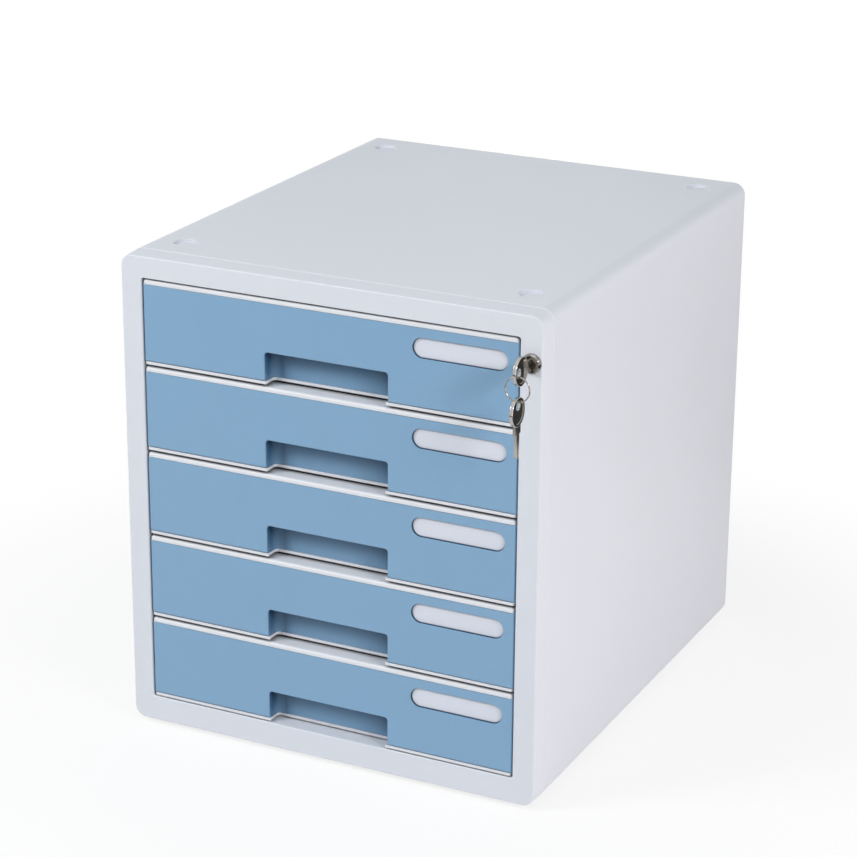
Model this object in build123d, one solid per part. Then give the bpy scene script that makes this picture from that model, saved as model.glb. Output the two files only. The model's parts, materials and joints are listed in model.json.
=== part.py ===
from build123d import *
import math
import os

os.makedirs("parts", exist_ok=True)

# Desktop filing cabinet with lockable drawers, in millimetres.
# X runs to the right, Y to the back and Z up. The origin is the bottom centre of the whole part.

# Casing
CASE_WIDTH = 290.0
CASE_HEIGHT = 320.0
CASE_DEPTH = 340.0
CASE_WALL = 2.8
CASE_CORNER_R = 8.5
SEAM_BEVEL = 0.55
REAR_EDGE_R = 1.8

# Feet and the seats on the top that take the feet of a second cabinet
FOOT_HEIGHT = 2.5
FOOT_R = 7.0
FOOT_EDGE = 0.5
FOOT_STEM_R = 2.45
FOOT_BARB_R = 3.2
FOOT_BARB_HEIGHT = 1.2
FOOT_INSET_X = 25.3
FOOT_INSET_FRONT = 37.5
FOOT_INSET_BACK = 25.5
SEAT_PLAY = 0.5
SEAT_DEPTH = 1.7
SEAT_EDGE_R = 0.4

# Front bezel
BEZEL_DEPTH = 14.5
BEZEL_TAPER = 0.9
BEZEL_PLATE = 3.0
BEZEL_EDGE_R = 0.9
STILE_WIDTH = 15.0
TOP_RAIL = 14.9
BOTTOM_RAIL = 17.9
OPENING_CORNER_R = 1.8
OPENING_EDGE_R = 0.6
RETURN_WALL = 2.0
SPIGOT_LENGTH = 6.0
SPIGOT_WALL = 2.0
SPIGOT_PLAY = 0.15

# Drawer fronts
DRAWER_COUNT = 5
DRAWER_GAP = 1.6
DRAWER_SIDE_GAP = 1.1
DRAWER_SET_BACK = 0.4
TOP_LIP = 3.0
TOP_LIP_DEPTH = 12.5
TOP_LIP_STEP = 1.5
TOP_LIP_EDGE_R = 1.9
BOTTOM_LIP = 2.1
BOTTOM_LIP_EDGE_R = 0.5
LIP_CORNER_R = 2.0
FASCIA_SET_BACK = 0.3
FASCIA_THICKNESS = 2.4
FASCIA_EDGE_R = 0.9

# Finger notch
NOTCH_WIDTH = 85.0
NOTCH_HEIGHT = 18.6
NOTCH_DEPTH = 11.0
NOTCH_CORNER_R = 2.0
NOTCH_BACK_R = 6.0
NOTCH_LIP = 1.0
NOTCH_LIP_CORNER_R = 2.7
POCKET_WALL = 1.6

# Label
LABEL_LENGTH = 62.8
LABEL_HEIGHT = 12.8
LABEL_INSET = 7.0
LABEL_DROP = 13.0
LABEL_POCKET = 1.6
LABEL_POCKET_EDGE_R = 0.3
LABEL_CARD = 0.3
LABEL_PLAY = 0.3

# Drawer trays
TRAY_WALL = 2.0
TRAY_FLOOR = 1.8
TRAY_REAR_CORNER_R = 5.0
RUNNER_SPACE = 10.9
RIM_DROP = 6.8
FLANGE_WIDTH = 6.5
FLANGE_THICKNESS = 2.0
STOP_TAB_REACH = 3.0
STOP_TAB_LENGTH = 5.0
STOP_TAB_INSET = 55.8

# Runner panels
RUNNER_PLATE = 2.4
RUNNER_SET = 0.2
RUNNER_END_PLAY = 0.3
LEDGE_THICKNESS = 2.0
LEDGE_CLEAR = 1.5
RUNNER_PLAY = 0.3
RIB_PLAY = 0.5
RIB_THICKNESS = 1.8
STOP_BLOCK_LENGTH = 3.0
STOP_BLOCK_CLEAR = 0.7
RUNNER_FRONT_GAP = 1.0
REAR_FLANGE = 2.4
REAR_FLANGE_INSET = 12.0

# Back panel
BACK_PANEL = 2.5
BACK_RECESS = 2.0
BACK_PLAY = 0.2
BACK_FIELD_INSET = 26.0
BACK_FIELD_CORNER_R = 10.0
BACK_FIELD_RISE = 0.8
BACK_FIELD_EDGE_R = 0.7
BUMPER = 2.0
BUMPER_R = 6.0
BUMPER_INSET = 40.0
CLOSING_GAP = 0.5

# Screws
SCREW_R = 1.3
SCREW_HEAD_R = 2.6
SCREW_HEAD = 1.3
SCREW_RECESS = 0.6
SCREW_RECESS_WIDTH = 0.8
SCREW_RECESS_REACH = 1.6
SCREW_PLAY = 0.05
SCREW_HEAD_PLAY = 0.2
BOSS_R = 3.6
RUNNER_SCREW_LENGTH = 7.0
RUNNER_SCREW_INSET = 22.0
BACK_SCREW_LENGTH = 7.0
BACK_SCREW_INSET = 8.0

# Lock
LOCK_DROP = 29.8
LOCK_HEAD_R = 6.2
LOCK_HEAD_PROUD = 2.5
LOCK_HEAD_BEVEL = 1.0
BARREL_R = 4.2
BARREL_LENGTH = 19.0
BARREL_PLAY = 0.1
CLIP_GROOVE = 0.5
CLIP_THICKNESS = 1.2
CLIP_ARM = 0.9
CLIP_PLAY = 0.05
PLUG_R = 3.2
PLUG_PLAY = 0.05
PLUG_STANDOFF = 0.2
LOCK_CUTOUT = 9.0

# Crank and lock bar
CRANK_R = 4.5
CRANK_THICKNESS = 2.0
CRANK_HUB_R = 4.0
CRANK_ARM_WIDTH = 5.0
CRANK_EYE = 1.2
CRANK_START_ANGLE = 225.0
PIN_R = 1.5
PIN_PLAY = 0.4
PIN_OVERHANG = 0.5
CRANK_SCREW_R = 1.0
CRANK_SCREW_LENGTH = 3.5
BAR_CLEAR = 0.4
BAR_THICKNESS = 2.5
BAR_BRIDGE = 2.5
TAB_REACH = 7.0
TAB_HEIGHT = 4.0
TAB_LIFT = 14.0
GUIDE_WALL = 1.6
GUIDE_PLAY = 0.3
GUIDE_HEIGHT = 8.0
GUIDE_LIFT = 36.0

# Drawer catches
LATCH_GAP = 2.5
CATCH_DEPTH = 5.0
CATCH_REACH = 10.0
CATCH_HEIGHT = 10.0
CATCH_CLEAR = 1.5
CATCH_EDGE_R = 0.8

# Keys and key ring
KEY_LENGTH = 38.0
KEY_NECK = 4.7
KEY_PLAY = 0.1
KEY_END_PLAY = 1.0
BOW_R = 9.0
BOW_THICKNESS = 2.2
BOW_RIM = 1.8
BOW_DISH = 0.35
BOW_EDGE_R = 0.4
BOW_HOLE_R = 3.0
BOW_HOLE_OFFSET = 3.8
BLADE_WIDTH = 3.8
BLADE_THICKNESS = 1.8
SHOULDER_WIDTH = 7.0
SHOULDER_PLAY = 0.3
BLADE_GROOVE_WIDTH = 1.0
BLADE_GROOVE_DEPTH = 0.45
BLADE_TIP = 1.4
BIT_COUNT = 4
BIT_PITCH = 2.6
BIT_DEPTH = 0.6
BIT_START = 2.4
RING_R = 7.8
RING_WIRE_R = 0.45
RING_PLAY = 0.12
SPARE_PLAY = 0.3

# Places worked out from the sizes above
KEY_REACH = LOCK_HEAD_PROUD + KEY_NECK + BOW_R + BOW_HOLE_OFFSET + BOW_R
FRONT = (KEY_REACH - CASE_DEPTH) / 2
BASE = FOOT_HEIGHT
CASE_TOP = BASE + CASE_HEIGHT
HALF_WIDTH = CASE_WIDTH / 2
INNER_HALF = HALF_WIDTH - CASE_WALL
SLEEVE_FRONT = FRONT + BEZEL_DEPTH
CASE_REAR = FRONT + CASE_DEPTH
BACK_INNER = CASE_REAR - BACK_RECESS - BACK_PANEL

OPENING_HALF = HALF_WIDTH - STILE_WIDTH
OPENING_LOW = BASE + BOTTOM_RAIL
OPENING_HIGH = CASE_TOP - TOP_RAIL
DRAWER_PITCH = (OPENING_HIGH - OPENING_LOW) / DRAWER_COUNT
DRAWER_HEIGHT = DRAWER_PITCH - DRAWER_GAP
DRAWER_HALF = OPENING_HALF - DRAWER_SIDE_GAP

LIP_FRONT = FRONT + DRAWER_SET_BACK
FACE = LIP_FRONT + FASCIA_SET_BACK
FASCIA_BACK = FACE + FASCIA_THICKNESS
FASCIA_LOW = BOTTOM_LIP
FASCIA_HIGH = DRAWER_HEIGHT - TOP_LIP
WEB_FRONT = FACE + NOTCH_DEPTH + POCKET_WALL
WEB_BACK = WEB_FRONT + TRAY_WALL
TRAY_HALF = DRAWER_HALF - RUNNER_SPACE
TRAY_REAR = BACK_INNER - BUMPER - CLOSING_GAP
RIM = DRAWER_HEIGHT - RIM_DROP
FLANGE_LOW = RIM - FLANGE_THICKNESS
FLANGE_TIP = TRAY_HALF + FLANGE_WIDTH
LABEL_X = DRAWER_HALF - LABEL_INSET - LABEL_LENGTH / 2

LOCK_X = (OPENING_HALF + HALF_WIDTH) / 2
LOCK_Z = CASE_TOP - LOCK_DROP
LOCK_FACE = FRONT - LOCK_HEAD_PROUD
BARREL_REAR = FRONT + BARREL_LENGTH
CRANK_FRONT = BARREL_REAR + PLUG_STANDOFF
CRANK_REAR = CRANK_FRONT + CRANK_THICKNESS
BAR_FRONT = CRANK_REAR + SCREW_HEAD + BAR_CLEAR
BAR_BACK = BAR_FRONT + BAR_THICKNESS
PIN_X = LOCK_X + CRANK_R * math.cos(math.radians(CRANK_START_ANGLE))
PIN_Z = LOCK_Z + CRANK_R * math.sin(math.radians(CRANK_START_ANGLE))
RUNNER_INNER = OPENING_HALF + RUNNER_SET
RUNNER_OUTER = RUNNER_INNER + RUNNER_PLATE
BAR_LEFT = RUNNER_INNER + GUIDE_WALL + GUIDE_PLAY
BAR_RIGHT = INNER_HALF - GUIDE_WALL - GUIDE_PLAY

CATCH_FRONT = BAR_BACK + LATCH_GAP
CATCH_BACK = CATCH_FRONT + CATCH_DEPTH
CATCH_LOW = TAB_LIFT + TAB_HEIGHT + CATCH_CLEAR
RUNNER_FRONT = CATCH_BACK + RUNNER_FRONT_GAP
STOP_FACE = RUNNER_FRONT + STOP_BLOCK_LENGTH
STOP_TAB_FRONT = TRAY_REAR - STOP_TAB_INSET - STOP_TAB_LENGTH

FOOT_X = HALF_WIDTH - FOOT_INSET_X
FOOT_FRONT_Y = FRONT + FOOT_INSET_FRONT
FOOT_BACK_Y = CASE_REAR - FOOT_INSET_BACK


def drawer_base(number):
    """Height of a drawer's underside; drawer 1 is the top one."""
    return OPENING_LOW + (DRAWER_COUNT - number) * DRAWER_PITCH + DRAWER_GAP / 2


def block(x0, x1, y0, y1, z0, z1):
    """Box between two opposite corners."""
    middle = Pos((x0 + x1) / 2, (y0 + y1) / 2, (z0 + z1) / 2)
    return middle * Box(abs(x1 - x0), abs(y1 - y0), abs(z1 - z0))


def rounded_block(half_width, y0, y1, z0, z1, radius):
    """Box centred on X whose four edges along Y are rounded."""
    body = block(-half_width, half_width, y0, y1, z0, z1)
    return fillet(body.edges().filter_by(Axis.Y), radius)


def rod_y(x, z, y0, y1, radius):
    """Round rod along Y."""
    return Pos(x, (y0 + y1) / 2, z) * Rot(90, 0, 0) * Cylinder(radius, y1 - y0)


def rod_z(x, y, z0, z1, radius):
    """Upright round rod."""
    return Pos(x, y, (z0 + z1) / 2) * Cylinder(radius, z1 - z0)


def slab_y(sketch, y0, y1, slope=0.0):
    """Outline drawn in X and Z, thickened forward from y1 to y0; the slope leans its sides in."""
    plane = Plane(origin=(0, y1, 0), x_dir=(1, 0, 0), z_dir=(0, -1, 0))
    return extrude(plane * sketch, amount=y1 - y0, taper=slope)


def screw(length):
    """Pan-head screw with a cross recess: head above Z = 0, shank below."""
    head = rod_z(0, 0, 0, SCREW_HEAD, SCREW_HEAD_R)
    shank = rod_z(0, 0, -length, 0, SCREW_R)
    half = SCREW_RECESS_WIDTH / 2
    reach = SCREW_RECESS_REACH
    floor = SCREW_HEAD - SCREW_RECESS
    cross = block(-reach, reach, -half, half, floor, SCREW_HEAD)
    cross += block(-half, half, -reach, reach, floor, SCREW_HEAD)
    return head + shank - cross


def foot_places():
    """X and Y of each foot and of each stacking seat."""
    return [(x, y) for x in (-FOOT_X, FOOT_X) for y in (FOOT_FRONT_Y, FOOT_BACK_Y)]


def runner_screw_places():
    """Y and Z of each screw that holds a runner panel."""
    rows = [drawer_base(number) + RIM / 2 for number in (1, DRAWER_COUNT)]
    columns = [RUNNER_FRONT + RUNNER_SCREW_INSET, BACK_INNER - RUNNER_SCREW_INSET]
    return [(y, z) for y in columns for z in rows]


def back_screw_places():
    """X and Z of each screw that holds the back panel."""
    x = (RUNNER_OUTER + INNER_HALF) / 2
    low = BASE + REAR_FLANGE_INSET + BACK_SCREW_INSET
    high = CASE_TOP - REAR_FLANGE_INSET - BACK_SCREW_INSET
    return [(side * x, z) for side in (-1, 1) for z in (low, (low + high) / 2, high)]


def make_outer_sleeve():
    """Tube of top, sides and bottom with stacking seats, foot holes and screw bosses."""
    sleeve = rounded_block(HALF_WIDTH, SLEEVE_FRONT, CASE_REAR, BASE, CASE_TOP, CASE_CORNER_R)
    sleeve = chamfer(sleeve.faces().sort_by(Axis.Y)[0].edges(), SEAM_BEVEL)
    sleeve = fillet(sleeve.faces().sort_by(Axis.Y)[-1].edges(), REAR_EDGE_R)
    inner_low = BASE + CASE_WALL
    inner_high = CASE_TOP - CASE_WALL
    inner_r = CASE_CORNER_R - CASE_WALL
    sleeve -= rounded_block(INNER_HALF, SLEEVE_FRONT - 1, CASE_REAR + 1, inner_low, inner_high, inner_r)
    for x, y in foot_places():
        sleeve -= rod_z(x, y, CASE_TOP - SEAT_DEPTH, CASE_TOP + 1, FOOT_R + SEAT_PLAY)
        sleeve -= rod_z(x, y, BASE - 1, inner_low + 1, FOOT_STEM_R + SCREW_PLAY)
    rims = sleeve.faces().sort_by(Axis.Z)[-1].inner_wires()
    sleeve = fillet([edge for rim in rims for edge in rim.edges()], SEAT_EDGE_R)
    for y, z in runner_screw_places():
        for side in (-1, 1):
            middle = (RUNNER_OUTER + INNER_HALF) / 2
            length = INNER_HALF - RUNNER_OUTER
            boss = Pos(side * middle, y, z) * Rot(0, 90, 0) * Cylinder(BOSS_R, length)
            pilot = Pos(side * middle, y, z) * Rot(0, 90, 0) * Cylinder(SCREW_R + SCREW_PLAY, length)
            sleeve += boss
            sleeve -= pilot
    return sleeve


def make_front_bezel():
    """Hollow tapered front frame with a spigot that plugs into the sleeve and a bore for the lock."""
    rear = SLEEVE_FRONT
    plate_back = FRONT + BEZEL_PLATE
    rim = CASE_WALL + SPIGOT_PLAY + SPIGOT_WALL
    outline = Pos(0, BASE + CASE_HEIGHT / 2) * RectangleRounded(CASE_WIDTH, CASE_HEIGHT, CASE_CORNER_R)
    slope = math.degrees(math.atan2(BEZEL_TAPER, BEZEL_DEPTH))
    bezel = slab_y(outline, FRONT, rear, slope)
    bezel = chamfer(bezel.faces().sort_by(Axis.Y)[-1].edges(), SEAM_BEVEL)
    bezel = fillet(bezel.faces().sort_by(Axis.Y)[0].edges(), BEZEL_EDGE_R)
    step = CASE_WALL + SPIGOT_PLAY
    bezel += rounded_block(HALF_WIDTH - step, rear - 1, rear + SPIGOT_LENGTH, BASE + step, CASE_TOP - step,
                           CASE_CORNER_R - step)
    bezel -= rounded_block(HALF_WIDTH - rim, plate_back, rear + SPIGOT_LENGTH + 1, BASE + rim,
                           CASE_TOP - rim, CASE_CORNER_R - rim)
    lining = block(-OPENING_HALF - RETURN_WALL, OPENING_HALF + RETURN_WALL, plate_back, rear,
                   OPENING_LOW - RETURN_WALL, OPENING_HIGH + RETURN_WALL)
    bezel += lining
    bezel -= rounded_block(OPENING_HALF, FRONT - 1, rear + 1, OPENING_LOW, OPENING_HIGH, OPENING_CORNER_R)
    mouth = bezel.faces().sort_by(Axis.Y)[0].inner_wires()[0]
    bezel = fillet(mouth.edges(), OPENING_EDGE_R)
    bezel -= block(OPENING_HALF + RETURN_WALL, INNER_HALF, plate_back, rear + SPIGOT_LENGTH + 1,
                   LOCK_Z - LOCK_CUTOUT, LOCK_Z + LOCK_CUTOUT)
    bezel -= rod_y(LOCK_X, LOCK_Z, FRONT - 1, plate_back + 1, BARREL_R + BARREL_PLAY)
    return bezel


def make_back_panel():
    """Plate in the sleeve's rear mouth, with a raised field behind."""
    step = CASE_WALL + BACK_PLAY
    rear = BACK_INNER + BACK_PANEL
    panel = rounded_block(HALF_WIDTH - step, BACK_INNER, rear, BASE + step, CASE_TOP - step,
                          CASE_CORNER_R - step)
    field = rounded_block(HALF_WIDTH - BACK_FIELD_INSET, rear - 1, rear + BACK_FIELD_RISE,
                          BASE + BACK_FIELD_INSET, CASE_TOP - BACK_FIELD_INSET, BACK_FIELD_CORNER_R)
    panel += fillet(field.faces().sort_by(Axis.Y)[-1].edges(), BACK_FIELD_EDGE_R)
    for x, z in back_screw_places():
        panel -= rod_y(x, z, BACK_INNER - 1, rear + 1, SCREW_R + SCREW_HEAD_PLAY)
    return panel


def make_closing_bumpers():
    """Rubber discs on the back panel that the closing trays meet."""
    bumpers = []
    for number in range(1, DRAWER_COUNT + 1):
        for side in (-1, 1):
            x = side * (TRAY_HALF - BUMPER_INSET)
            z = drawer_base(number) + RIM / 2
            bumpers.append(rod_y(x, z, BACK_INNER - BUMPER, BACK_INNER, BUMPER_R))
    return Compound(children=bumpers)


def make_right_runner():
    """Side panel with a ledge, a hold-down rib and a stop block for every drawer."""
    low = BASE + CASE_WALL + RUNNER_END_PLAY
    high = CASE_TOP - CASE_WALL - RUNNER_END_PLAY
    panel = block(RUNNER_INNER, RUNNER_OUTER, RUNNER_FRONT, BACK_INNER, low, high)
    panel += block(RUNNER_OUTER, INNER_HALF - RUNNER_END_PLAY, BACK_INNER - REAR_FLANGE, BACK_INNER,
                   BASE + REAR_FLANGE_INSET, CASE_TOP - REAR_FLANGE_INSET)
    ledge_inner = TRAY_HALF + LEDGE_CLEAR
    join = RUNNER_INNER + RUNNER_PLATE / 2
    for number in range(1, DRAWER_COUNT + 1):
        base = drawer_base(number)
        ledge_top = base + FLANGE_LOW - RUNNER_PLAY
        rib_low = base + RIM + RIB_PLAY
        panel += block(ledge_inner, join, RUNNER_FRONT, BACK_INNER, ledge_top - LEDGE_THICKNESS, ledge_top)
        panel += block(ledge_inner, join, RUNNER_FRONT, BACK_INNER, rib_low, rib_low + RIB_THICKNESS)
        panel += block(FLANGE_TIP + STOP_BLOCK_CLEAR, join, RUNNER_FRONT, STOP_FACE, ledge_top, rib_low)
    for y, z in runner_screw_places():
        axis = Pos(RUNNER_OUTER, y, z) * Rot(0, 90, 0)
        panel -= axis * Cylinder(SCREW_R + SCREW_HEAD_PLAY, 2 * RUNNER_PLATE)
        sink = Pos(RUNNER_INNER, y, z) * Rot(0, 90, 0)
        panel -= sink * Cylinder(SCREW_HEAD_R + SCREW_HEAD_PLAY, 2 * SCREW_HEAD)
    for x, z in back_screw_places():
        if x > 0:
            panel -= rod_y(x, z, BACK_INNER - REAR_FLANGE - 1, BACK_INNER + 1, SCREW_R + SCREW_PLAY)
    return panel


def make_feet():
    """Rubber feet pushed into the sleeve's bottom wall."""
    feet = []
    for x, y in foot_places():
        pad = rod_z(x, y, 0, BASE, FOOT_R)
        pad = chamfer(pad.faces().sort_by(Axis.Z)[0].edges(), FOOT_EDGE)
        pad += rod_z(x, y, BASE, BASE + CASE_WALL, FOOT_STEM_R)
        pad += rod_z(x, y, BASE + CASE_WALL, BASE + CASE_WALL + FOOT_BARB_HEIGHT, FOOT_BARB_R)
        feet.append(pad)
    return Compound(children=feet)


def make_runner_screws():
    """Screws through the runner panels into the sleeve's bosses."""
    seat = RUNNER_INNER + SCREW_HEAD
    screws = []
    for y, z in runner_screw_places():
        screws.append(Pos(seat, y, z) * Rot(0, -90, 0) * screw(RUNNER_SCREW_LENGTH))
        screws.append(Pos(-seat, y, z) * Rot(0, 90, 0) * screw(RUNNER_SCREW_LENGTH))
    return Compound(children=screws)


def make_back_screws():
    """Screws through the back panel into the runner panels' rear flanges."""
    seat = BACK_INNER + BACK_PANEL
    screws = [Pos(x, seat, z) * Rot(-90, 0, 0) * screw(BACK_SCREW_LENGTH) for x, z in back_screw_places()]
    return Compound(children=screws)


def make_lock_barrel():
    """Plated head in front of the bezel and a grooved body behind it, bored for the plug."""
    head = rod_y(LOCK_X, LOCK_Z, LOCK_FACE, FRONT, LOCK_HEAD_R)
    head = chamfer(head.faces().sort_by(Axis.Y)[0].edges(), LOCK_HEAD_BEVEL)
    barrel = head + rod_y(LOCK_X, LOCK_Z, FRONT - LOCK_HEAD_BEVEL, BARREL_REAR, BARREL_R)
    groove_front = FRONT + BEZEL_PLATE
    groove_back = groove_front + CLIP_THICKNESS + 2 * CLIP_PLAY
    groove = rod_y(LOCK_X, LOCK_Z, groove_front, groove_back, BARREL_R + 1)
    barrel -= groove - rod_y(LOCK_X, LOCK_Z, groove_front, groove_back, BARREL_R - CLIP_GROOVE)
    return barrel - rod_y(LOCK_X, LOCK_Z, LOCK_FACE - 1, BARREL_REAR + 1, PLUG_R + PLUG_PLAY)


def make_lock_clip():
    """Horseshoe clip in the barrel's groove, against the back of the bezel's plate."""
    inner = BARREL_R - CLIP_GROOVE + CLIP_PLAY
    outer = inner + CLIP_ARM
    front = FRONT + BEZEL_PLATE + CLIP_PLAY
    back = front + CLIP_THICKNESS
    clip = rod_y(LOCK_X, LOCK_Z, front, back, outer)
    clip += block(LOCK_X - outer, LOCK_X + outer, front, back, LOCK_Z - outer, LOCK_Z)
    clip -= rod_y(LOCK_X, LOCK_Z, front - 1, back + 1, inner)
    return clip - block(LOCK_X - inner, LOCK_X + inner, front - 1, back + 1, LOCK_Z - outer - 1, LOCK_Z)


def make_lock_plug():
    """Turning core with an upright keyway and a screw hole in its tail."""
    plug = rod_y(LOCK_X, LOCK_Z, LOCK_FACE, CRANK_FRONT, PLUG_R)
    half_x = BLADE_THICKNESS / 2 + KEY_PLAY
    half_z = BLADE_WIDTH / 2 + KEY_PLAY
    depth = KEY_LENGTH - 2 * BOW_R - KEY_NECK + KEY_END_PLAY
    plug -= block(LOCK_X - half_x, LOCK_X + half_x, LOCK_FACE - 1, LOCK_FACE + depth,
                  LOCK_Z - half_z, LOCK_Z + half_z)
    hole_end = CRANK_FRONT - CRANK_SCREW_LENGTH
    return plug - rod_y(LOCK_X, LOCK_Z, hole_end, CRANK_FRONT + 1, CRANK_SCREW_R + SCREW_PLAY)


def make_lock_crank():
    """Short arm on the plug's tail with the pin that lifts the lock bar."""
    eye = PIN_R + CRANK_EYE
    arm = Pos((LOCK_X + PIN_X) / 2, (LOCK_Z + PIN_Z) / 2) * Rot(0, 0, CRANK_START_ANGLE)
    outline = Pos(LOCK_X, LOCK_Z) * Circle(CRANK_HUB_R) + Pos(PIN_X, PIN_Z) * Circle(eye)
    outline += arm * Rectangle(CRANK_R, CRANK_ARM_WIDTH)
    crank = slab_y(outline, CRANK_FRONT, CRANK_REAR)
    crank += rod_y(PIN_X, PIN_Z, CRANK_FRONT, BAR_BACK + PIN_OVERHANG, PIN_R)
    return crank - rod_y(LOCK_X, LOCK_Z, CRANK_FRONT - 1, CRANK_REAR + 1, CRANK_SCREW_R + SCREW_PLAY)


def make_crank_screw():
    """Small screw that clamps the crank to the plug."""
    head = rod_y(LOCK_X, LOCK_Z, CRANK_REAR, CRANK_REAR + SCREW_HEAD, SCREW_HEAD_R)
    shank_front = CRANK_FRONT - CRANK_SCREW_LENGTH + SCREW_PLAY
    shank = rod_y(LOCK_X, LOCK_Z, shank_front, CRANK_REAR, CRANK_SCREW_R)
    half = SCREW_RECESS_WIDTH / 2
    slot = block(LOCK_X - SCREW_HEAD_R, LOCK_X + SCREW_HEAD_R, CRANK_REAR + SCREW_HEAD - SCREW_RECESS,
                 CRANK_REAR + SCREW_HEAD, LOCK_Z - half, LOCK_Z + half)
    return head + shank - slot


def make_lock_bar():
    """Upright strip with a slot for the crank's pin and a tab below every drawer's catch."""
    slot_half = PIN_R + PIN_PLAY
    low = drawer_base(DRAWER_COUNT) + TAB_LIFT
    bar = block(BAR_LEFT, BAR_RIGHT, BAR_FRONT, BAR_BACK, low, PIN_Z + slot_half + BAR_BRIDGE)
    bar -= block(BAR_LEFT - 1, PIN_X + slot_half, BAR_FRONT - 1, BAR_BACK + 1,
                 PIN_Z - slot_half, PIN_Z + slot_half)
    for number in range(1, DRAWER_COUNT + 1):
        tab_low = drawer_base(number) + TAB_LIFT
        bar += block(BAR_LEFT - TAB_REACH, (BAR_LEFT + BAR_RIGHT) / 2, BAR_FRONT, BAR_BACK,
                     tab_low, tab_low + TAB_HEIGHT)
    return bar


def make_lock_bar_guides():
    """Loops on the sleeve's right wall that keep the bar upright."""
    guides = []
    for number in (2, DRAWER_COUNT - 1):
        low = drawer_base(number) + GUIDE_LIFT
        high = low + GUIDE_HEIGHT
        loop = block(RUNNER_INNER, INNER_HALF, BAR_FRONT - GUIDE_PLAY - GUIDE_WALL,
                     BAR_BACK + GUIDE_PLAY + GUIDE_WALL, low, high)
        loop -= block(BAR_LEFT - GUIDE_PLAY, BAR_RIGHT + GUIDE_PLAY, BAR_FRONT - GUIDE_PLAY,
                      BAR_BACK + GUIDE_PLAY, low - 1, high + 1)
        guides.append(loop)
    return Compound(children=guides)


def make_key():
    """Flat key with its bow's centre at the origin and its blade along +Y."""
    bow = Rot(0, 90, 0) * Cylinder(BOW_R, BOW_THICKNESS)
    bow = fillet(bow.edges().filter_by(GeomType.CIRCLE), BOW_EDGE_R)
    half = BLADE_WIDTH / 2
    tip = KEY_LENGTH - BOW_R
    blade = block(-BLADE_THICKNESS / 2, BLADE_THICKNESS / 2, 0, tip, -half, half)
    ends = blade.edges().filter_by(Axis.X).sort_by(Axis.Y)[-2:]
    key = bow + chamfer(ends, BLADE_TIP)
    shoulder = BOW_R + KEY_NECK - SHOULDER_PLAY
    key += block(-BLADE_THICKNESS / 2, BLADE_THICKNESS / 2, 0, shoulder,
                 -SHOULDER_WIDTH / 2, SHOULDER_WIDTH / 2)
    for side in (-1, 1):
        face = side * BOW_THICKNESS / 2
        dish = Pos(face, 0, 0) * Rot(0, 90, 0) * Cylinder(BOW_R - BOW_RIM, 2 * BOW_DISH)
        key -= dish
        groove_face = side * BLADE_THICKNESS / 2
        key -= block(groove_face - BLADE_GROOVE_DEPTH, groove_face + BLADE_GROOVE_DEPTH, BOW_R + 1, tip + 1,
                     -BLADE_GROOVE_WIDTH / 2, BLADE_GROOVE_WIDTH / 2)
    for bit in range(BIT_COUNT):
        y = tip - BIT_START - bit * BIT_PITCH
        side = BIT_DEPTH * math.sqrt(2)
        key -= Pos(0, y, -half) * Rot(45, 0, 0) * Box(2 * BLADE_THICKNESS, side, side)
    hole = Pos(0, -BOW_HOLE_OFFSET, 0) * Rot(0, 90, 0) * Cylinder(BOW_HOLE_R, 2 * BOW_THICKNESS)
    return key - hole


BOW_Y = LOCK_FACE - KEY_NECK - BOW_R
HOLE_Y = BOW_Y - BOW_HOLE_OFFSET
WEB_BELOW_HOLE = math.sqrt(BOW_R ** 2 - BOW_HOLE_OFFSET ** 2) - BOW_HOLE_R
WEB_CENTRE_Z = LOCK_Z - BOW_HOLE_R - WEB_BELOW_HOLE / 2
WEB_REACH = math.hypot(BOW_THICKNESS / 2, WEB_BELOW_HOLE / 2)
RING_Z = WEB_CENTRE_Z - (RING_R - RING_WIRE_R - WEB_REACH - RING_PLAY)
RING_LOW = RING_Z - RING_R
SPARE_HOLE_Z = RING_LOW + RING_WIRE_R + SPARE_PLAY - BOW_HOLE_R
SPARE_BOW_Z = SPARE_HOLE_Z - BOW_HOLE_OFFSET


def make_key_ring():
    """Wire ring through the holes of both keys, facing the front."""
    return Pos(LOCK_X, HOLE_Y, RING_Z) * Rot(90, 0, 0) * Torus(RING_R, RING_WIRE_R)


def make_fascia():
    """Blue drawer front with its finger pocket and label pocket, for a drawer that stands on Z = 0."""
    plate = block(-DRAWER_HALF, DRAWER_HALF, FACE, FASCIA_BACK, FASCIA_LOW, FASCIA_HIGH)
    half = NOTCH_WIDTH / 2
    high = FASCIA_LOW + NOTCH_HEIGHT
    pocket = block(-half - POCKET_WALL, half + POCKET_WALL, FACE + FASCIA_THICKNESS / 2, WEB_FRONT,
                   FASCIA_LOW, high + POCKET_WALL)
    hollow = block(-half, half, FACE - 1, FACE + NOTCH_DEPTH, FASCIA_LOW - BOTTOM_LIP, high)
    hollow = fillet(hollow.edges().filter_by(Axis.Z).sort_by(Axis.Y)[-2:], NOTCH_BACK_R)
    ceiling = hollow.faces().sort_by(Axis.Z)[-1].edges().sort_by(Axis.Y)[1:]
    hollow = fillet(ceiling, NOTCH_CORNER_R)
    fascia = plate + pocket - hollow
    front = fascia.faces().sort_by(Axis.Y)[0]
    fascia = fillet(front.outer_wire().edges(), FASCIA_EDGE_R)
    seat = slab_y(label_outline(0), FACE - 1, FACE + LABEL_POCKET)
    fascia -= seat
    rim = fascia.faces().sort_by(Axis.Y)[0].inner_wires()[0]
    return fillet(rim.edges(), LABEL_POCKET_EDGE_R)


def label_outline(play):
    """Round-ended label outline, smaller by the play all round."""
    height = LABEL_HEIGHT - 2 * play
    outline = SlotOverall(LABEL_LENGTH - 2 * play, height)
    return Pos(LABEL_X, FASCIA_HIGH - LABEL_DROP) * outline


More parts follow.
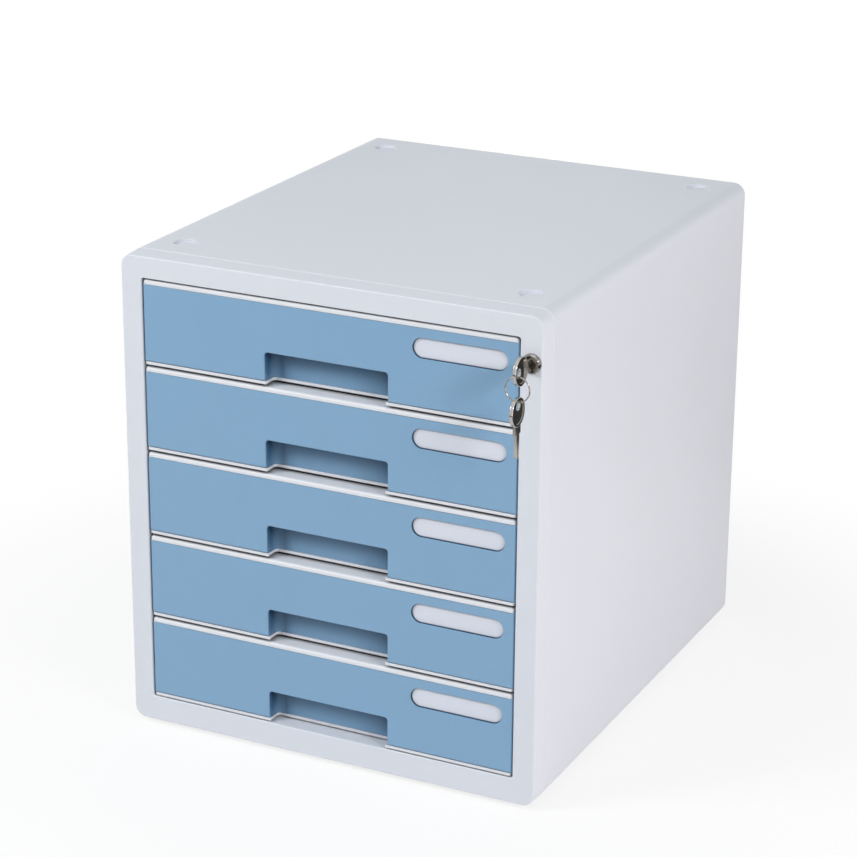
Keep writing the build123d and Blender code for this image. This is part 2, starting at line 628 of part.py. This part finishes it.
def make_label():
    """Label card on the floor of its pocket."""
    return slab_y(label_outline(LABEL_PLAY), FACE + LABEL_POCKET - LABEL_CARD, FACE + LABEL_POCKET)


def make_front_frame():
    """Pale frame around the blue front: lips, box front and end caps, standing on Z = 0."""
    top = block(-DRAWER_HALF, DRAWER_HALF, LIP_FRONT, WEB_BACK, FASCIA_HIGH, DRAWER_HEIGHT)
    corners = top.edges().filter_by(Axis.Z).sort_by(Axis.Y)[:2]
    top = fillet(corners, LIP_CORNER_R)
    nose = top.faces().sort_by(Axis.Z)[-1].edges().sort_by(Axis.Y)[:3]
    top = fillet(nose, TOP_LIP_EDGE_R)
    top -= block(-DRAWER_HALF - 1, DRAWER_HALF + 1, LIP_FRONT + TOP_LIP_DEPTH, WEB_BACK + 1,
                 DRAWER_HEIGHT - TOP_LIP_STEP, DRAWER_HEIGHT + 1)
    bottom = block(-DRAWER_HALF, DRAWER_HALF, LIP_FRONT, WEB_BACK, 0, BOTTOM_LIP)
    corners = bottom.edges().filter_by(Axis.Z).sort_by(Axis.Y)[:2]
    bottom = fillet(corners, LIP_CORNER_R)
    half_notch = NOTCH_WIDTH / 2 - NOTCH_LIP
    cut = block(-half_notch, half_notch, LIP_FRONT - 1, FACE + NOTCH_DEPTH - NOTCH_LIP, -1, BOTTOM_LIP + 1)
    cut = fillet(cut.edges().filter_by(Axis.Z).sort_by(Axis.Y)[-2:], NOTCH_LIP_CORNER_R)
    bottom -= cut
    edge = bottom.faces().sort_by(Axis.Z)[0].edges().filter_by(lambda e: e.center().Y < WEB_BACK - 1)
    edge = edge.filter_by(lambda e: abs(e.center().X) < DRAWER_HALF - LIP_CORNER_R)
    bottom = fillet(edge, BOTTOM_LIP_EDGE_R)
    low = BOTTOM_LIP / 2
    high = FASCIA_HIGH + TOP_LIP / 4
    frame = top + bottom + block(-DRAWER_HALF, DRAWER_HALF, WEB_FRONT, WEB_BACK, low, high)
    for side in (-1, 1):
        cap = side * (DRAWER_HALF - TRAY_WALL)
        frame += block(cap, side * DRAWER_HALF, FASCIA_BACK, WEB_FRONT + 1, low, high)
    return frame


def make_tray():
    """Pale tray behind the front frame, open at its front, with side flanges and stop tabs."""
    outer = block(-TRAY_HALF, TRAY_HALF, WEB_BACK, TRAY_REAR, 0, RIM)
    outer = fillet(outer.edges().filter_by(Axis.Z).sort_by(Axis.Y)[-2:], TRAY_REAR_CORNER_R)
    inner_half = TRAY_HALF - TRAY_WALL
    inner = block(-inner_half, inner_half, WEB_BACK - 1, TRAY_REAR - TRAY_WALL, TRAY_FLOOR, RIM + 1)
    inner = fillet(inner.edges().filter_by(Axis.Z).sort_by(Axis.Y)[-2:], TRAY_REAR_CORNER_R - TRAY_WALL)
    tray = outer - inner
    for side in (-1, 1):
        wall = side * (TRAY_HALF - TRAY_WALL / 2)
        tip = side * FLANGE_TIP
        tray += block(wall, tip, WEB_BACK, TRAY_REAR - TRAY_REAR_CORNER_R, FLANGE_LOW, RIM)
        tray += block(tip - side, tip + side * STOP_TAB_REACH, STOP_TAB_FRONT,
                      STOP_TAB_FRONT + STOP_TAB_LENGTH, FLANGE_LOW, RIM)
    return tray


def make_catch():
    """Lug on the tray's right wall that the lock bar's tab blocks."""
    lug = block(TRAY_HALF, TRAY_HALF + CATCH_REACH, CATCH_FRONT, CATCH_BACK,
                CATCH_LOW, CATCH_LOW + CATCH_HEIGHT)
    return fillet(lug.edges().filter_by(Axis.X), CATCH_EDGE_R)


def save(name, solid):
    """Write one piece to its own file."""
    export_step(solid, f"parts/{name}.step")
    print(name, round(solid.volume, 1))


right_runner = make_right_runner()
save("outer_sleeve", make_outer_sleeve())
save("front_bezel", make_front_bezel())
save("back_panel", make_back_panel())
save("closing_bumpers", make_closing_bumpers())
save("right_runner", right_runner)
save("left_runner", mirror(right_runner, Plane.YZ))
save("feet", make_feet())
save("runner_screws", make_runner_screws())
save("back_screws", make_back_screws())
save("lock_barrel", make_lock_barrel())
save("lock_clip", make_lock_clip())
save("lock_plug", make_lock_plug())
save("lock_crank", make_lock_crank())
save("crank_screw", make_crank_screw())
save("lock_bar", make_lock_bar())
save("lock_bar_guides", make_lock_bar_guides())

key = make_key()
save("key", Pos(LOCK_X, BOW_Y, LOCK_Z) * key)
save("key_ring", make_key_ring())
hanging = Rot(0, 0, 180) * Rot(-90, 0, 0)
save("spare_key", Pos(LOCK_X, HOLE_Y, SPARE_BOW_Z) * hanging * key)

frame = make_front_frame()
tray = make_tray()
fascia = make_fascia()
label = make_label()
catch = make_catch()
for number in range(1, DRAWER_COUNT + 1):
    place = Pos(0, 0, drawer_base(number))
    save(f"drawer_{number}_front_frame", place * frame)
    save(f"drawer_{number}_tray", place * tray)
    save(f"drawer_{number}_fascia", place * fascia)
    save(f"drawer_{number}_label", place * label)
    save(f"drawer_{number}_catch", place * catch)
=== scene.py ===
# %% [markdown]
# # A lockable desktop filing cabinet
# This lesson dresses a packed engineering model: a pale plastic casing, drawers with blue fronts, and a
# lock with its keys. The solids already have their true shapes, so all of the work is in the finishes and
# the light. We start by loading the frame. The plain materials
# that come with it are renamed, because our own finishes take over their names.

# %% Load the imported model
import json
import math

import bpy
import numpy as np
from mathutils import Matrix, Vector


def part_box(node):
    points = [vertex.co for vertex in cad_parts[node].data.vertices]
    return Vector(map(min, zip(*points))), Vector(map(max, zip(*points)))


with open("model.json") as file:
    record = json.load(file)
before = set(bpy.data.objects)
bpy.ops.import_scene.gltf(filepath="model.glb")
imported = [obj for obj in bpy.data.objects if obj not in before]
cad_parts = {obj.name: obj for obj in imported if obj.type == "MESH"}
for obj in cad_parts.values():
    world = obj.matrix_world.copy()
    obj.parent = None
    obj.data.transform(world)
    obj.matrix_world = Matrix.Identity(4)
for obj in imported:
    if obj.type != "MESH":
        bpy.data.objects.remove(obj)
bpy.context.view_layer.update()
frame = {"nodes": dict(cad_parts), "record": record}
nodes = frame["nodes"]
plain = list(bpy.data.materials)
for material in plain:
    material.name = "plain_" + material.name
print("plain materials", len(plain))

# %% [markdown]
# ## Shader sums as plain Python
# A procedural finish is mostly arithmetic on noise. Writing that as nodes and links hides the idea, so one
# small class wraps a socket: adding or multiplying two of them adds the Math node that does it. A second
# class wraps a node tree, with one method for every other kind of node.


# %% A number that changes over a surface
class Varying:
    """Wraps one output socket; arithmetic on it adds Math nodes to the same node tree."""

    def __init__(self, tree, socket):
        self.tree = tree
        self.socket = socket

    def sum_node(self, operation, first, second):
        node = self.tree.nodes.new("ShaderNodeMath")
        node.operation = operation
        for place, item in zip(node.inputs, (first, second)):
            plug(self.tree, place, item)
        return Varying(self.tree, node.outputs[0])

    def __add__(self, other):
        return self.sum_node("ADD", self, other)

    def __sub__(self, other):
        return self.sum_node("SUBTRACT", self, other)

    def __rsub__(self, other):
        return self.sum_node("SUBTRACT", other, self)

    def __mul__(self, other):
        return self.sum_node("MULTIPLY", self, other)

    def __pow__(self, other):
        return self.sum_node("POWER", self, other)

    __radd__ = __add__
    __rmul__ = __mul__


def plug(tree, place, item):
    """Link a Varying to a socket, or write a plain value on it."""
    if isinstance(item, Varying):
        tree.links.new(item.socket, place)
    else:
        place.default_value = item


# %% A node tree
class Board:
    """A node tree that nodes are added to."""

    def __init__(self, tree):
        self.tree = tree

    def add(self, kind, out=0, settings=None, **sockets):
        """Any node: its settings first, then the values or links of its sockets."""
        node = self.tree.nodes.new(kind)
        for name, value in (settings or {}).items():
            setattr(node, name, value)
        for name, value in sockets.items():
            plug(self.tree, node.inputs[name.replace("_", " ")], value)
        return Varying(self.tree, node.outputs[out])

    def shown(self):
        """1 for what the camera sees, straight, mirrored or through glass, and 0 for what is only light."""
        rays = ("Is Camera Ray", "Is Glossy Ray", "Is Transmission Ray")
        seen, mirrored, through = (self.add("ShaderNodeLightPath", out=ray) for ray in rays)
        return seen + mirrored + through


print("shader sums ready")

# %% [markdown]
# ## One recipe for every finish
# Each material is a Principled shader with constants on its own sockets and a few varying sockets. The
# class below makes the shader and gives noise in millimetres, because a maker thinks of grain as so many
# tenths of a millimetre. It also measures how open a spot is, and some finishes paint shade into their base
# colour there: pockets and corners are made darker and richer in colour than a free face, as painted shade
# standing in for the light that reaches them only by way of other walls.


# %% A finish
class Finish(Board):
    """A Principled material; names such as roughness="Roughness" follow the shader's own sockets."""

    def __init__(self, name, colour, **constants):
        self.material = bpy.data.materials.new(name)
        self.material.use_nodes = True
        super().__init__(self.material.node_tree)
        self.shader = self.tree.nodes["Principled BSDF"]
        self.colour = colour
        self.shader.inputs["Base Color"].default_value = (*colour, 1)
        for constant, value in constants.items():
            socket = constant.replace("_", " ").title().replace("Ior", "IOR")
            self.shader.inputs[socket].default_value = value
        self.place = self.add("ShaderNodeTexCoord", out="Object")

    def noise(self, grain_mm, detail=2.0, stretch=(1, 1, 1)):
        """Noise about zero whose grains are grain_mm across, drawn out along an axis by stretch."""
        scale = tuple(1000 / grain_mm / s for s in stretch)
        spot = self.add("ShaderNodeMapping", Vector=self.place, Scale=scale)
        return self.add("ShaderNodeTexNoise", Vector=spot, Scale=1.0, Detail=detail) - 0.5

    def painted_crevice_shade(self, reach_mm, power, own_walls=False):
        """Openness of a spot for painted shade: 1 on a free face, falling towards 0 where walls stand within
        reach_mm.
        """
        settings = {"samples": 8, "only_local": own_walls}
        reach = reach_mm / 1000
        open_to = self.add("ShaderNodeAmbientOcclusion", out="AO", settings=settings, Distance=reach)
        return open_to ** power

    def tint(self, amount, openness=1.0, painted_shade_hue=(1, 1, 1)):
        """Base colour made lighter and darker by an amount about zero, and darker in crevices as painted
        shade.

        Each channel's openness is raised to its exponent in deepen, which makes the painted shade in crevices
        richer in colour.
        """
        strength = amount + 1.0
        red, green, blue = (strength * (openness ** d if d != 1 else openness) * c
                            for d, c in zip(painted_shade_hue, self.colour))
        self.feed("Base Color", self.add("ShaderNodeCombineColor", Red=red, Green=green, Blue=blue))

    def feed(self, socket, value):
        plug(self.tree, self.shader.inputs[socket], value)

    def bump(self, height, depth_mm):
        """Surface relief: height about zero, times depth_mm."""
        relief = self.add("ShaderNodeBump", Height=height, Strength=1.0, Distance=depth_mm / 1000)
        self.feed("Normal", relief)


print("finish recipe ready")

# %% [markdown]
# ## Moulded plastics
# The casing is matt moulded plastic with a fine spark-eroded grain. The trays come from a smoother tool and
# the runners are never seen by the buyer, so they are plainer; both get painted shade in their gaps and
# corners. The blue fronts are satin, with painted shade in the finger notches from their own walls alone, so
# that a drawer keeps its colour when it slides out.

# %% Plastics
CLOUD_MM = 45
CLOUD_IN_GLOSS, GRAIN_IN_GLOSS = 0.12, 0.08


def moulded(name, colour, roughness, grain_mm, depth_mm, mottle, painted_crevice_shade=None, painted_shade_hue=(1, 1, 1), **constants):
    """Plastic with a fine grain in its relief, a cloudy gloss, a faint mottle and painted shade in crevices.
    """
    finish = Finish(name, colour, **constants)
    grain = finish.noise(grain_mm, detail=1.0)
    cloud = finish.noise(CLOUD_MM, detail=3.0)
    openness = finish.painted_crevice_shade(**painted_crevice_shade) if painted_crevice_shade else 1.0
    finish.tint(cloud * mottle + grain * mottle, openness, painted_shade_hue)
    finish.feed("Roughness", cloud * CLOUD_IN_GLOSS + grain * GRAIN_IN_GLOSS + roughness)
    finish.bump(grain, depth_mm)
    return finish.material


CASING = (0.69, 0.715, 0.77)
TRAY = (0.72, 0.732, 0.768)
RUNNER = (0.62, 0.64, 0.68)
BLUE = (0.222, 0.385, 0.565)
# Painted shade: how far and how strongly each plastic is darkened in gaps, corners and notches.
TRAY_PAINTED_SHADE = {"reach_mm": 3, "power": 0.7}
RUNNER_PAINTED_SHADE = {"reach_mm": 8, "power": 0.8}
NOTCH_PAINTED_SHADE = {"reach_mm": 30, "power": 2.3, "own_walls": True}
NOTCH_PAINTED_SHADE_HUE = (1.35, 1.05, 0.88)
casing_plastic = moulded("casing_plastic", CASING, roughness=0.50, grain_mm=0.45, depth_mm=0.012, mottle=0.02)
tray_plastic = moulded("tray_plastic", TRAY, roughness=0.42, grain_mm=0.60, depth_mm=0.006, mottle=0.02,
                       painted_crevice_shade=TRAY_PAINTED_SHADE)
runner_plastic = moulded("runner_plastic", RUNNER, roughness=0.45, grain_mm=0.80, depth_mm=0.006, mottle=0.03,
                         painted_crevice_shade=RUNNER_PAINTED_SHADE)
blue_plastic = moulded("blue_plastic", BLUE, roughness=0.30, grain_mm=0.50, depth_mm=0.005, mottle=0.03,
                       painted_crevice_shade=NOTCH_PAINTED_SHADE, painted_shade_hue=NOTCH_PAINTED_SHADE_HUE, specular_ior_level=0.35)
print("plastics", casing_plastic.name, tray_plastic.name, runner_plastic.name, blue_plastic.name)

# %% [markdown]
# ## Card and rubber
# The label is smooth card with a hint of fibre, lying in a shallow pocket; the shade of the pocket's rim on
# its edge is painted into its colour. The feet and the closing bumpers are black rubber with a dusty bloom.

# %% Card and rubber
FIBRE_MM, FIBRE_STRETCH, FIBRE_DEPTH_MM = 0.35, (6, 1, 1.5), 0.01
FIBRE_IN_COLOUR, FIBRE_IN_GLOSS, CARD_ROUGHNESS = 0.05, 0.1, 0.45
# Painted shade at the label's edge in its pocket.
CARD_PAINTED_SHADE = {"reach_mm": 1.2, "power": 0.8}
BLOOM_MM, BLOOM_IN_COLOUR, BLOOM_IN_GLOSS, RUBBER_ROUGHNESS = 4.0, 0.9, 0.2, 0.75
RUBBER_GRAIN_MM, RUBBER_DEPTH_MM = 0.6, 0.03


def fibre_card(name, colour):
    """Card: long faint fibres across it, matt, with painted shade where walls stand close."""
    finish = Finish(name, colour)
    fibres = finish.noise(FIBRE_MM, detail=3.0, stretch=FIBRE_STRETCH)
    finish.tint(fibres * FIBRE_IN_COLOUR, finish.painted_crevice_shade(**CARD_PAINTED_SHADE))
    finish.feed("Roughness", fibres * FIBRE_IN_GLOSS + CARD_ROUGHNESS)
    finish.bump(fibres, FIBRE_DEPTH_MM)
    return finish.material


def dusty_rubber(name, colour):
    """Rubber: dark, matt, with a paler bloom in patches."""
    finish = Finish(name, colour)
    bloom = finish.noise(BLOOM_MM, detail=4.0)
    finish.tint(bloom * BLOOM_IN_COLOUR)
    finish.feed("Roughness", bloom * BLOOM_IN_GLOSS + RUBBER_ROUGHNESS)
    finish.bump(finish.noise(RUBBER_GRAIN_MM), RUBBER_DEPTH_MM)
    return finish.material


label_card = fibre_card("label_card", (0.68, 0.71, 0.79))
rubber_feet = dusty_rubber("rubber_feet", (0.045, 0.045, 0.05))
print("card and rubber", label_card.name, rubber_feet.name)

# %% [markdown]
# ## Metals
# The metals differ in how they were finished. The lock head, the ring and the keys are plated and bright,
# and the bar and clip are zinc plated and brushed, so their gloss is drawn out along one axis, while the
# screws are zinc plated.

# %% Metals
SCRATCH_MM, SMUDGE_MM = 0.12, 5.0
SMUDGE_IN_COLOUR, SCRATCH_IN_GLOSS, SMUDGE_IN_GLOSS = 0.12, 0.10, 0.10
UNBRUSHED = (1, 1, 1)


def plated(name, colour, roughness, brush, depth_mm):
    """Metal: fine scratches drawn out along an axis change its gloss and relief a little."""
    finish = Finish(name, colour, metallic=1.0)
    scratch = finish.noise(SCRATCH_MM, detail=3.0, stretch=brush)
    smudge = finish.noise(SMUDGE_MM, detail=3.0)
    finish.tint(smudge * SMUDGE_IN_COLOUR)
    finish.feed("Roughness", scratch * SCRATCH_IN_GLOSS + smudge * SMUDGE_IN_GLOSS + roughness)
    finish.bump(scratch, depth_mm)
    return finish.material


# lock_chrome, lock_core, key_nickel and ring_steel are given colours darker than their bright plating, as
# painted reflection of dark surroundings.
plated("lock_chrome", (0.27, 0.25, 0.23), roughness=0.07, brush=UNBRUSHED, depth_mm=0.001)
plated("lock_core", (0.08, 0.072, 0.065), roughness=0.14, brush=(1, 1, 8), depth_mm=0.002)
plated("key_nickel", (0.46, 0.44, 0.41), roughness=0.10, brush=(1, 6, 1), depth_mm=0.001)
plated("ring_steel", (0.38, 0.35, 0.32), roughness=0.08, brush=UNBRUSHED, depth_mm=0.001)
plated("bar_steel", (0.56, 0.57, 0.58), roughness=0.32, brush=(1, 1, 12), depth_mm=0.003)
plated("spring_steel", (0.50, 0.50, 0.52), roughness=0.28, brush=(8, 1, 1), depth_mm=0.003)
plated("screw_steel", (0.56, 0.56, 0.57), roughness=0.30, brush=UNBRUSHED, depth_mm=0.003)
print("finishes", len(bpy.data.materials) - len(plain))

# %% [markdown]
# ## Put the finishes on
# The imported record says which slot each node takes, and the finishes are named after those slots, so one
# loop dresses every node and nothing can be forgotten. The plain materials are then of no more use.

# %% Dress the nodes
for part in frame["record"]["subparts"]:
    solid = nodes[part["node"]]
    solid.data.materials.clear()
    solid.data.materials.append(bpy.data.materials[part["material_slot"]])
for material in plain:
    bpy.data.materials.remove(material)

# %% [markdown]
# ## Camera
# The photograph's vanishing points give the viewing angle, the distance and the lens. The camera looks
# past the middle of the casing by a few millimetres and leans by half a degree, as the photograph does.

# %% Camera
AZIMUTH, ELEVATION, ROLL = (math.radians(a) for a in (26.1305, 19.9695, 0.4204))
DISTANCE = 1.812624
SIDESTEP, RISE = -0.011445, 0.011262
FOCAL_PIXELS, IMAGE_PIXELS, SENSOR = 2686.468, 857, 36.0
FAR_CLIP = 100

case_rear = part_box("outer_sleeve")[1].y
front_low, front_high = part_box("front_bezel")
middle = Vector((0, (front_low.y + case_rear) / 2, (front_low.z + front_high.z) / 2))
back = Vector((math.sin(AZIMUTH) * math.cos(ELEVATION), -math.cos(AZIMUTH) * math.cos(ELEVATION),
               math.sin(ELEVATION)))
level = Vector((math.cos(AZIMUTH), math.sin(AZIMUTH), 0))
upright = back.cross(level)
right = level * math.cos(ROLL) + upright * math.sin(ROLL)
up = upright * math.cos(ROLL) - level * math.sin(ROLL)
camera = bpy.data.objects.new("camera", bpy.data.cameras.new("camera"))
bpy.context.scene.collection.objects.link(camera)
camera.data.sensor_width = SENSOR
camera.data.lens = FOCAL_PIXELS * SENSOR / IMAGE_PIXELS
camera.data.clip_end = FAR_CLIP
camera.matrix_world = Matrix((right, up, back)).transposed().to_4x4()
camera.location = middle + back * DISTANCE + right * SIDESTEP + up * RISE
bpy.context.scene.camera = camera
print("camera at", [round(v, 3) for v in camera.location], "lens", round(camera.data.lens, 2))

# %% [markdown]
# ## Floor and background
# The picture is a studio shot on white, with hardly any shadow. The floor is white paint. Away from the
# object it shows the camera plain white, so that its far edge never appears, while near the object it is
# lit like anything else and keeps the shadow. The world is white too where it shows, in reflections as
# well, and gives a softer light.

# %% Floor
FLOOR_HALF = 9.0
FLOOR_PALE, FLOOR_BOUNCE = 0.90, 0.85
SHADOW_SHARE = 0.20
SHADOW_REACH, SHADOW_FADE = 0.24, 0.50


def flat_sheet(name, low, high, height, paint):
    """A level rectangle: each corner takes its x and its y from the corner low or from the corner high."""
    (x0, y0), (x1, y1) = low, high
    corners = np.array([(x0, y0, height), (x1, y0, height), (x1, y1, height), (x0, y1, height)])
    mesh = bpy.data.meshes.new(name)
    mesh.from_pydata(corners.tolist(), [], [(0, 1, 2, 3)])
    mesh.materials.append(paint)
    sheet = bpy.data.objects.new(name, mesh)
    bpy.context.scene.collection.objects.link(sheet)
    return sheet


def floor_paint():
    """White paint that fades, where it shows, to plain white away from the object."""
    paint = Finish("floor_paint", (FLOOR_PALE,) * 3, roughness=0.9, specular_ior_level=0.1)
    far = paint.add("ShaderNodeVectorMath", out="Value", settings={"operation": "LENGTH"}, Vector=paint.place)
    fade = paint.add("ShaderNodeMapRange", Value=far, From_Min=SHADOW_REACH, From_Max=SHADOW_FADE,
                     settings={"interpolation_type": "SMOOTHSTEP"})
    shown = paint.shown()
    pale = shown * (FLOOR_PALE - FLOOR_BOUNCE) + FLOOR_BOUNCE
    paint.feed("Base Color", paint.add("ShaderNodeCombineColor", Red=pale, Green=pale, Blue=pale))
    glow = paint.add("ShaderNodeEmission")
    mix = paint.add("ShaderNodeMixShader", Fac=shown * (fade * SHADOW_SHARE + (1 - SHADOW_SHARE)))
    _, lit, plain_white = mix.socket.node.inputs
    paint.tree.links.new(paint.shader.outputs[0], lit)
    paint.tree.links.new(glow.socket, plain_white)
    paint.tree.links.new(mix.socket, paint.tree.nodes["Material Output"].inputs["Surface"])
    return paint.material


floor = flat_sheet("floor", (-FLOOR_HALF, -FLOOR_HALF), (FLOOR_HALF, FLOOR_HALF), 0, floor_paint())
print("floor", 2 * FLOOR_HALF, "m square")

# %% World
AMBIENT = 0.26
WHITE = (1, 1, 1, 1)

world = bpy.data.worlds.new("studio")
bpy.context.scene.world = world
world.use_nodes = True
sky = world.node_tree.nodes["Background"]
sky.inputs["Color"].default_value = WHITE
plug(world.node_tree, sky.inputs["Strength"], Board(world.node_tree).shown() * (1 - AMBIENT) + AMBIENT)
bpy.context.scene.view_settings.view_transform = "Standard"
print("world ambient", AMBIENT)

# %% [markdown]
# ## Lamps
# Softboxes light the cabinet at a level where a colour renders about as it is written. The key box stands
# well to the right, so that the keys lay a soft shadow on the top drawer. The left box fills the fronts, the
# top box cools the top a little, the side box warms the right side near the floor, and the rear box is for
# views from behind.


# %% Lamps
def softbox(name, place, aim, size, watts, colour=(1, 1, 1)):
    """A square area lamp at place that faces aim."""
    lamp = bpy.data.lights.new(name, "AREA")
    lamp.size = size
    lamp.energy = watts
    lamp.color = colour
    holder = bpy.data.objects.new(name, lamp)
    bpy.context.scene.collection.objects.link(holder)
    holder.location = place
    holder.rotation_euler = (Vector(aim) - Vector(place)).to_track_quat("-Z", "Y").to_euler()


AIM = (0, -0.05, 0.16)
SIDE_AIM = (0.14, -0.10, 0.08)
COOL, WARM = (0.76, 0.91, 1.0), (1.0, 0.855, 0.823)
softbox("key_box", (1.95, -0.96, 1.21), AIM, size=0.5, watts=20.5)
softbox("left_box", (-1.40, -1.45, 1.60), AIM, size=0.8, watts=31)
softbox("top_box", (0.1, -0.75, 2.1), AIM, size=1.4, watts=6.4, colour=COOL)
softbox("side_box", (0.95, -0.12, 0.06), SIDE_AIM, size=0.4, watts=2.3, colour=WARM)
softbox("rear_box", (-0.9, 2.2, 0.20), AIM, size=0.4, watts=14)
print("softboxes", len(bpy.data.lights))

# %% [markdown]
# ## Flags
# Polished metal in an all-white studio looks flat and grey, so a photographer lays out black cards for it to
# mirror. Ours lie on the floor and are seen by reflections alone: they cast no shadow and light nothing, so
# they are painted reflections.

# %% Flags
FLAG_GREY = (0.08, 0.08, 0.08)
FLAG_HEIGHT = 0.002


def flag(name, low, high):
    """A painted reflection: a black card on the floor between two corners, which shows only as a dark patch
    in reflections.
    """
    paper = Finish(name, FLAG_GREY, roughness=0.95, specular_ior_level=0.0)
    card = flat_sheet(name, low, high, FLAG_HEIGHT, paper.material)
    card.visible_camera = False
    card.visible_diffuse = False
    card.visible_shadow = False
    card.visible_transmission = False


flag("flag_behind", (0.22, 0.43), (0.95, 1.10))
flag("flag_ahead", (-0.70, -1.30), (0.05, -0.82))
flag("flag_right", (0.45, -0.80), (1.30, -0.15))
print("three flags")
